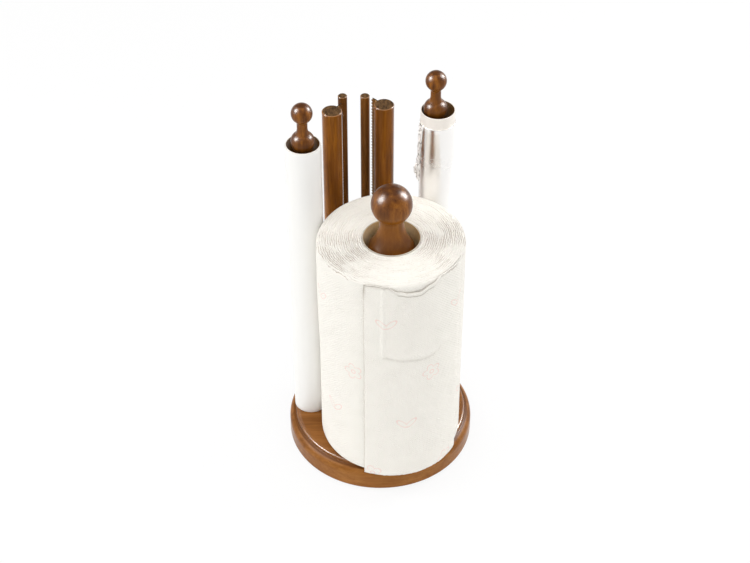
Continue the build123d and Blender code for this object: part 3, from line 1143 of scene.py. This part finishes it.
@dataclass
class KitchenRoll(WoundRoll):
    """The wound kitchen paper: a soft cylinder with ragged layers on top."""

    name: str = "kitchen_paper_roll"
    node: str = "paper_roll"
    body: str = "paper_wound"
    slot: str = "kitchen_paper"
    sides: int = 320
    seam: float = math.radians(95)
    top_round: float = 4.5 * MM
    mouth_round: float = 1.0 * MM
    bottom_round: float = 8.0 * MM
    layer: float = 2.3 * MM
    layer_step: float = 0.42 * MM
    ragged: float = 1.25 * MM
    wave: float = 0.55 * MM
    lumps: float = 0.35 * MM
    bulge: float = 1.5 * MM
    bulge_angle: float = 192.0
    bulge_width: float = 26.0

    def section(self) -> Profile:
        """Return the section, with a round mouth, shoulder and foot.

        Returns:
            The reach and height of each corner.
        """
        low, high, bore, radius = self.low.z, self.high.z, self.bore, self.radius
        mouth, mouth_top = bore + self.mouth_round, high - self.mouth_round
        shoulder, shoulder_top = radius - self.top_round, high - self.top_round
        foot, foot_top = radius - self.bottom_round, low + self.bottom_round
        steps = round((shoulder - mouth) / self.layer_step)
        return [
            (bore, low),
            *run_profile((bore, low), (bore, mouth_top), 8),
            *arc_profile((mouth, mouth_top), self.mouth_round, 180, 90, 3),
            *run_profile((mouth, high), (shoulder, high), steps),
            *arc_profile((shoulder, shoulder_top), self.top_round, 90, 0, 9),
            *run_profile((radius, shoulder_top), (radius, foot_top), 44),
            *arc_profile((foot, foot_top), self.bottom_round, 0, -90, 8),
            *run_profile((foot, low), (bore, low), 8),
        ]

    def softness(self, point: Vector, arm: Vector) -> Vector:
        """Return a corner's move for the ragged top, the wall's soft lumps and its bulge.

        Args:
            point: the corner.
            arm: its level distance from the axis.

        Returns:
            The move.
        """
        reach, angle = arm.length, math.atan2(arm.y, arm.x)
        on_top = smoothstep(self.high.z - self.top_round * 0.75, self.high.z - self.top_round * 0.1, point.z)
        on_wall = smoothstep(self.radius - 3 * MM, self.radius - 0.2 * MM, reach) * (1 - on_top)
        lump = ripple(arm.x * 28, arm.y * 28, point.z * 14) - 0.45
        away = (math.degrees(angle) - self.bulge_angle + 180) % 360 - 180
        rise = smoothstep(0.4, 0.9, (point.z - self.low.z) / (self.high.z - self.low.z))
        rise *= smoothstep(self.bore, self.radius, reach)
        out = self.lumps * lump * on_wall + self.bulge * hump(away, self.bulge_width) * rise
        drop = self._drop(point, reach, angle) * on_top * smoothstep(self.bore, self.bore + 2.5 * MM, reach)
        return arm.normalized() * out - Vector((0, 0, drop))

    def _drop(self, point: Vector, reach: float, angle: float) -> float:
        """Return how far the ragged layers on top fall short at a point.

        Args:
            point: the corner.
            reach: its distance from the axis.
            angle: its angle round it.

        Returns:
            The depth.
        """
        winding = reach / self.layer - angle / FULL_TURN + noise.noise(point * 60.0) * 0.6
        layer = math.floor(winding)
        height = 0.35 + 0.65 * ripple(layer * 7.31, angle * 1.6, 0.5)
        drop = self.ragged * (0.5 - 0.5 * math.cos(FULL_TURN * (winding - layer))) * max(0.0, height)
        drop += self.ragged * 0.45 * max(0.0, ripple(layer * 3.17, angle * 34.0, 2.0))
        return drop + self.wave * (0.5 + 0.5 * noise.noise(point * 24.0))


@dataclass
class SlimRoll(WoundRoll):
    """Film or foil wound on a white core."""

    rows: int = 60
    dents: float = 0.10 * MM
    edge: float = 0.18 * MM

    def section(self) -> Profile:
        """Return the section, with narrow edges.

        Returns:
            The reach and height of each corner.
        """
        low, high, wall = self.low.z + self.edge, self.high.z - self.edge, self.radius - self.edge
        return [
            (self.bore, self.low.z),
            (self.bore, high),
            *arc_profile((wall, high), self.edge, 90, 0, 3),
            *run_profile((self.radius, high), (self.radius, low), self.rows),
            *arc_profile((wall, low), self.edge, 0, -90, 3),
        ]

    def softness(self, point: Vector, arm: Vector) -> Vector:
        """Return a corner's move for the wall's dents and the uneven end.

        Args:
            point: the corner.
            arm: its level distance from the axis.

        Returns:
            The move.
        """
        if arm.length > self.radius - self.edge * 1.5:
            return arm.normalized() * (ripple(arm.x * 90, arm.y * 90, point.z * 26) - 0.4) * self.dents
        uneven = self.edge * abs(noise.noise(arm * 300)) if point.z > self.high.z - self.edge * 1.5 else 0.0
        return Vector((0, 0, -uneven))


@dataclass
class LooseSheet:
    """The free last sheet: its torn edge, its sagging folded top and its creases."""

    roll: KitchenRoll
    start: float = -111.5
    end: float = -24.0
    lift: float = 0.9 * MM
    thickness: float = 0.22 * MM
    gap: float = 0.14 * MM
    across: int = 116
    up: int = 150
    fold_rows: int = 9
    fold: float = 4.6 * MM
    least_fold: float = 0.35 * MM
    fold_start: float = -91.0
    fold_end: float = -49.0
    fold_blend: float = 7.0
    edge_lift: float = 1.1 * MM
    edge_fade: float = 5.0 * MM
    edge_drop: tuple[float, float] = (25 * MM, 7 * MM)
    hang: float = 0.6 * MM
    hang_rise: float = 75 * MM
    tuck: float = 0.5 * MM
    ridge: float = -96.4
    pinch: float = -84.0
    puff: float = -70.0
    top_edge: tuple[tuple[float, float], ...] = (
        (-111.5, 1.3), (-103.0, 1.0), (-93.7, 1.3), (-84.7, 6.2), (-77.2, 8.0),
        (-68.8, 8.3), (-60.2, 4.4), (-50.6, 1.2), (-24.0, 1.0),
    )
    crease_line: tuple[tuple[float, float], ...] = (
        (-96.4, 82.1), (-79.5, 86.4), (-61.6, 88.7), (-43.6, 81.0),
    )

    def __post_init__(self) -> None:
        """Find the sheet's foot and the roll's top, its width, and where that starts in the roll's UV."""
        self.foot, self.crown = self.roll.low.z + self.lift, self.roll.high.z
        self.width = self.roll.radius * math.radians(self.end - self.start)
        self.first = (math.radians(self.start) - self.roll.seam) % FULL_TURN * self.roll.radius

    def build(self, material: Material) -> None:
        """Make the sheet in its CAD node's place.

        Args:
            material: the paper's material.
        """
        mesh = bmesh.new()
        rows = self.up + self.fold_rows
        bmesh.ops.create_grid(mesh, x_segments=self.across, y_segments=rows, size=0.5)
        layer = mesh.loops.layers.uv.new("UVMap")
        shade = mesh.verts.layers.float.new("crease_shade")
        flat = {corner: (corner.co.x + 0.5, (corner.co.y + 0.5) * rows) for corner in mesh.verts}
        for corner, (share, row) in flat.items():
            corner.co = self._draped(share, row)
            corner[shade] = self._shade(share, row)
        for face in mesh.faces:
            for loop in face.loops:
                share, row = flat[loop.vert]
                loop[layer].uv = (self.first + share * self.width, self.foot + self._height(share, row))
        bmesh.ops.recalc_face_normals(mesh, faces=mesh.faces)
        if sum(f.normal.dot(f.calc_center_median() - self.roll.centre) for f in mesh.faces) < 0:
            bmesh.ops.reverse_faces(mesh, faces=mesh.faces)
        piece = made(mesh, "kitchen_paper_loose_sheet", material)
        thicken(piece, self.thickness)
        settle(piece, "paper_wound", "paper_free_sheet", "loose sheet with folded top")

    def _angle(self, share: float) -> float:
        """Return the angle in degrees at a share of the sheet's width."""
        return self.start + (self.end - self.start) * share

    def _fold(self, degrees: float) -> float:
        """Return how much of the top is folded over.

        Args:
            degrees: the angle round the roll.

        Returns:
            The fold's width.
        """
        full = self.fold_start + self.fold_blend, self.fold_end - self.fold_blend
        middle = band(degrees, (self.fold_start, full[0]), (full[1], self.fold_end))
        return self.least_fold + (self.fold - self.least_fold) * middle

    def _below(self, line: Sequence[tuple[float, float]], degrees: float) -> float:
        """Return a line's height at an angle, from its depths in millimetres below the roll's top."""
        return self.crown - curve_through(line, degrees) * MM

    def _height(self, share: float, row: float) -> float:
        """Return how far a row is from the sheet's foot, along the paper.

        Args:
            share: the place across the sheet.
            row: the row.

        Returns:
            The distance.
        """
        degrees = self._angle(share)
        wall = (self._below(self.top_edge, degrees) - self.foot) * min(row, self.up) / self.up
        return wall + self._fold(degrees) * max(0.0, row - self.up) / self.fold_rows

    def _surface(self, height: float) -> float:
        """Return the roll's reach, with its rounded shoulder.

        Args:
            height: the height.

        Returns:
            The distance from the axis.
        """
        corner = self.roll.top_round
        rise = min(max(0.0, height - self.roll.high.z + corner), corner * 0.97)
        return self.roll.radius - corner + math.sqrt(corner**2 - rise**2)

    def _draped(self, share: float, row: float) -> Vector:
        """Return where a corner of the sheet lies.

        Args:
            share: its place across the sheet, from 0 at the torn edge to 1.
            row: its row, from 0 at the foot; rows past the top are folded over.

        Returns:
            The point.
        """
        degrees = self._angle(share)
        over = max(0.0, row - self.up) / self.fold_rows
        height = min(self.foot + self._height(share, row), self._below(self.top_edge, degrees))
        height -= self._fold(degrees) * over
        lip = (0.22 + 0.80 * math.sin(math.pi * min(1.0, over * 1.6))) * smoothstep(0, 0.15, over)
        reach = self._surface(height) + self.gap + (lip + 0.55 * over) * MM + self._creases(degrees, height)
        far, near = self.edge_drop
        loose = 0.6 + 0.4 * smoothstep(self.crown - far, self.crown - near, height)
        reach += self.edge_lift * loose * math.exp(-share * self.width / self.edge_fade)
        low = 1 - smoothstep(self.foot, self.foot + self.hang_rise, height)
        reach += self.hang * low * band(degrees, (-116, -100), (-72, -36))
        reach -= self.tuck * smoothstep(0.94, 1.0, share)
        torn = (ripple(height * 420, 3.0, 0.0) * 0.35 + ripple(height * 60, 5.0, 0.0) * 0.5) * MM
        angle = math.radians(degrees) + torn / self.roll.radius * (1 - smoothstep(0.0, 0.03, share))
        height += 0.5 * MM * ripple(degrees * 0.5, 9.0, 0.0) * (1 - smoothstep(0, 3, row))
        return polar(self.roll.centre, reach, angle, height)

    def _shade(self, share: float, row: float) -> float:
        """Return the painted shade in a crease, under the fold's lip and at the turned corner.

        Args:
            share: the place across the sheet, as for a corner.
            row: its row.

        Returns:
            The shade, from 0 to 1.
        """
        degrees = self._angle(share)
        lip = 0.85 * hump(row - self.up - self.fold_rows, 1.3) * band(degrees, (-88, -84), (-60, -54))
        top = 0.55 * hump(row - self.up, 1.2) * (1 - smoothstep(-56, -50, degrees))
        corner = 0.6 * smoothstep(self.up - 13, self.up - 2, row) * hump(share * self.width, 1.6 * MM)
        below = self.foot + self._height(share, row) - self._below(self.crease_line, degrees)
        crease = (0.20 + 0.22 * ripple(degrees * 0.35, 2.0, 0.0)) * hump(below, 1.5 * MM)
        return max(lip, top, corner, crease * band(degrees, (-100, -94), (-70, -44)), 0.0)

    def _creases(self, degrees: float, height: float) -> float:
        """Return how far the creases and soft folds move the paper in or out.

        Args:
            degrees: the angle round the roll.
            height: the height.

        Returns:
            The move outwards.
        """
        above = height - self._below(self.crease_line, degrees)
        crease = 0.85 * hump(above - 4.0 * MM, 3.2 * MM) - 0.75 * hump(above, 1.3 * MM)
        crease *= band(degrees, (-100, -90), (-46, -38))
        ridge = 0.95 * hump(degrees - self.ridge, 1.5) * smoothstep(-4 * MM, 4 * MM, above)
        upper = self.crown - 14 * MM
        pinch = 0.45 * smoothstep(upper - 46 * MM, upper, height) * hump(degrees - self.pinch, 4.5)
        puff = 0.55 * smoothstep(upper - 31 * MM, upper, height) * hump(degrees - self.puff, 8)
        soft = 0.30 * ripple(degrees * 0.09, height * 22, 1.5)
        return (crease + ridge - pinch + puff + soft + 0.40) * MM


@dataclass
class CrumpledEnd:
    """The torn free end of the foil, crumpled down one side of the roll."""

    roll: SlimRoll
    start: float = -160.0
    sweep: float = -16.0
    width: float = 34.0
    length: float = 62.0 * MM
    bunch: float = 3.6 * MM
    bunch_drop: float = 50.0 * MM
    across: int = 26
    down: int = 96
    thickness: float = 0.06 * MM

    def build(self, material: Material) -> None:
        """Make the crumpled strip in its CAD node's place.

        Args:
            material: the foil's material.
        """
        mesh = bmesh.new()
        bmesh.ops.create_grid(mesh, x_segments=self.across, y_segments=self.down, size=0.5)
        layer = mesh.loops.layers.uv.new("UVMap")
        for face in mesh.faces:
            for loop in face.loops:
                loop[layer].uv = (loop.vert.co.x * 0.012, loop.vert.co.y * self.length)
        for corner in mesh.verts:
            corner.co = self._crumpled(corner.co.x + 0.5, corner.co.y + 0.5)
        bmesh.ops.triangulate(mesh, faces=mesh.faces)
        bmesh.ops.recalc_face_normals(mesh, faces=mesh.faces)
        piece = made(mesh, "foil_crumpled_end", material, smooth=False)
        thicken(piece, self.thickness, 0.0)
        settle(piece, "foil_wound", "foil_free_end", "crumpled free end")

    def _crumpled(self, share: float, up: float) -> Vector:
        """Return where a corner of the strip lies.

        Args:
            share: its place across the strip.
            up: its place from the lower end to the top.

        Returns:
            The point.
        """
        drop = (1 - up) * self.length
        degrees = self.start + self.sweep * math.sin((1 - up) * math.pi * 0.7)
        degrees += (share - 0.5) * self.width * (0.55 + 0.45 * smoothstep(0.0, 0.35, up))
        degrees += 2.2 * ripple(share * 3, drop * 120, 4.0)
        tent = 1 - abs(share - 0.5) * 2
        folds = noise.ridged_multi_fractal(Vector((share * 2.6, drop * 150, 0.3)), 0.9, 2.1, 3, 1.0, 2.0)
        bunch = self.bunch / MM * 0.85 * hump(drop - self.bunch_drop, 8 * MM)
        lift = 0.15 + tent * (0.6 + 0.7 * folds + bunch) + 0.5 * ripple(share * 5, drop * 260, 7.0)
        height = self.roll.high.z - 0.3 * MM - drop + 0.9 * MM * ripple(share * 6, drop * 90, 2.0)
        reach = self.roll.radius + max(0.1, lift) * MM
        return polar(self.roll.centre, reach, math.radians(degrees), min(height, self.roll.high.z))


# Studio


class Side(Enum):
    """A soft lamp's place, as azimuth to the right of the camera's line and elevation in degrees."""

    LEFT = (-84.0, 38.0)
    RIGHT = (115.0, 31.0)
    FRONT = (0.0, 72.0)


@dataclass(frozen=True)
class SoftLamp:
    """A rectangular softbox that faces the object."""

    side: Side
    width: float
    height: float
    distance: float
    level: float
    gleam: float
    gleam_size: float = 0.48

    def build(self, target: Vector) -> None:
        """Make the lamp that lights, and a smaller one in its place that only gloss shows.

        Args:
            target: the point that they face.
        """
        azimuth, elevation = (math.radians(a) for a in self.side.value)
        level = math.cos(elevation)
        away = Vector((math.sin(azimuth) * level, -math.cos(azimuth) * level, math.sin(elevation)))
        lamps = (("light", self.level, 1.0, False), ("gleam", self.gleam, self.gleam_size, True))
        for kind, power, share, gloss in lamps:
            data = bpy.data.lights.new(f"{self.side.name.lower()}_{kind}", "AREA")
            data.shape = "RECTANGLE"
            data.size, data.size_y = self.width * share, self.height * share
            data.energy = power * math.pi * data.size * data.size_y
            lamp = bpy.data.objects.new(data.name, data)
            lamp.location = target + away * self.distance
            lamp.rotation_euler = away.to_track_quat("Z", "Y").to_euler()
            lamp.visible_camera = False
            lamp.visible_glossy, lamp.visible_diffuse = gloss, not gloss
            if power > 0:
                bpy.context.scene.collection.objects.link(lamp)


@dataclass
class Studio:
    """The floor, world, lamps and camera."""

    target: Vector = field(default_factory=lambda: Vector((0.0, 0.0, 0.15)))
    floor_size: float = 6.0
    floor_colour: Colour = (0.80, 0.80, 0.795)
    floor_white: float = 0.88
    ambient: float = 0.80
    ceiling: float = 0.30
    ceiling_fade: tuple[float, float] = (0.05, 0.45)
    camera_place: Triple = (-3.07 * MM, -1180.56 * MM, 1204.74 * MM)
    camera_down: float = 40.7645
    lens: float = 83.3133
    sensor: float = 36.0
    shift: tuple[float, float] = (-0.00285, -0.00559)
    lamps: tuple[SoftLamp, ...] = (
        SoftLamp(Side.LEFT, 1.0, 1.4, 1.5, level=1.34, gleam=138.0),
        SoftLamp(Side.RIGHT, 0.9, 1.4, 1.5, level=1.2, gleam=138.0),
        SoftLamp(Side.FRONT, 1.4, 1.4, 2.0, level=1.88, gleam=0.0),
    )

    def build(self) -> None:
        """Make everything that isn't the object."""
        self._floor()
        self._world()
        for lamp in self.lamps:
            lamp.build(self.target)
        self._camera()
        bpy.context.scene.view_settings.view_transform = "Standard"
        log.info("studio: floor, world, %d soft lamps and camera", len(self.lamps))

    def _floor(self) -> None:
        """Make the floor, which looks white and keeps the object's shadow."""
        mesh = bmesh.new()
        bmesh.ops.create_grid(mesh, x_segments=1, y_segments=1, size=self.floor_size / 2)
        shader = Shader("floor")
        shader.finish(Base_Color=(*self.floor_colour, 1.0), Roughness=0.8)
        rays = ("Is Camera Ray", "Is Glossy Ray", "Is Transmission Ray")
        camera, glossy, through = (shader.node("ShaderNodeLightPath", output=ray) for ray in rays)
        seen = (camera + glossy + through).at_most(1.0)
        white = shader.light("ShaderNodeEmission", 1.0)
        shader.feed(shader.end, {"Surface": shader.blend(seen * self.floor_white, shader.surface, white)})
        made(mesh, "floor", shader.material)

    def _world(self) -> None:
        """Make the world: white to look at, a soft fill, and a darker ceiling for gloss to show."""
        world = bpy.data.worlds.new("studio")
        world.use_nodes = True
        bpy.context.scene.world = world
        sky = Nodes(world.node_tree)
        up = sky.parts(sky.node("ShaderNodeTexCoord", output="Generated"))[2]
        low, high = self.ceiling_fade
        fade = sky.node("ShaderNodeMapRange", {"interpolation_type": "SMOOTHSTEP"}, {
            "Value": up, "From Min": low, "From Max": high, "To Min": 1.0, "To Max": self.ceiling,
        })
        light = sky.light("ShaderNodeBackground", self.ambient)
        for ray, strength in (("Is Glossy Ray", fade), ("Is Camera Ray", 1.0)):
            layer = sky.light("ShaderNodeBackground", strength)
            light = sky.blend(sky.node("ShaderNodeLightPath", output=ray), light, layer)
        sky.feed(sky.tree.nodes.new("ShaderNodeOutputWorld"), {"Surface": light})

    def _camera(self) -> None:
        """Make the camera at the photograph's viewing angle."""
        data = bpy.data.cameras.new("camera")
        data.lens, data.sensor_width = self.lens, self.sensor
        data.shift_x, data.shift_y = self.shift
        data.clip_start, data.clip_end = 0.01, 50.0
        camera = bpy.data.objects.new("camera", data)
        camera.location = self.camera_place
        camera.rotation_euler = (math.radians(90 - self.camera_down), 0.0, 0.0)
        bpy.context.scene.collection.objects.link(camera)
        bpy.context.scene.camera = camera


# The roll holder


@dataclass
class RollHolder:
    """The whole dressed object."""

    nodes: dict[str, Piece]
    paper_rim: float = 3.4 * MM
    foil_dents: float = 0.14 * MM
    foil_loose: float = 52.0 * MM

    def build(self) -> None:
        """Dress the stand, the cutters and the cores, and make the soft and wound pieces."""
        for parts in (Stand(self.nodes), Cutters(self.nodes), Cores(self.nodes)):
            parts.dress()
        FeltPads().build(FeltFinish().material())
        self._paper()
        SlimRoll("film_wound_layers", "film_roll", "film_wound", "cling_film").build(FilmFinish().material())
        self._foil()

    def _paper(self) -> None:
        """Make the kitchen roll and its loose sheet, of one paper."""
        roll = KitchenRoll()
        sheet = LooseSheet(roll)
        rim = roll.high.z - self.paper_rim
        paper = PaperFinish("kitchen_paper", (roll.centre.x, roll.centre.y), rim, sheet.first).material()
        roll.build(paper)
        sheet.build(paper)

    def _foil(self) -> None:
        """Make the foil roll, duller below its loose top, and its crumpled end."""
        roll = SlimRoll("foil_wound_layers", "foil_roll", "foil_wound", "foil", dents=self.foil_dents)
        roll.build(FoilFinish(bright_height=roll.high.z - self.foil_loose, fade=0.45).material())
        crumpled = FoilFinish("foil_crumpled", roughness=0.30, crease_depth=0.0005, metal=0.30, fold_shade=0.75)
        CrumpledEnd(roll).build(crumpled.material())


def corners(box: Iterable[Vector]) -> list[list[float]]:
    """Return a box's corners as plain lists."""
    return [list(corner) for corner in box]


def main() -> None:
    """Build the dressed roll holder in its studio."""
    logging.basicConfig(level=logging.INFO, format="%(name)s %(message)s")
    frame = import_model()
    RollHolder(frame["nodes"]).build()
    Studio().build()


if __name__ == "__main__":
    main()
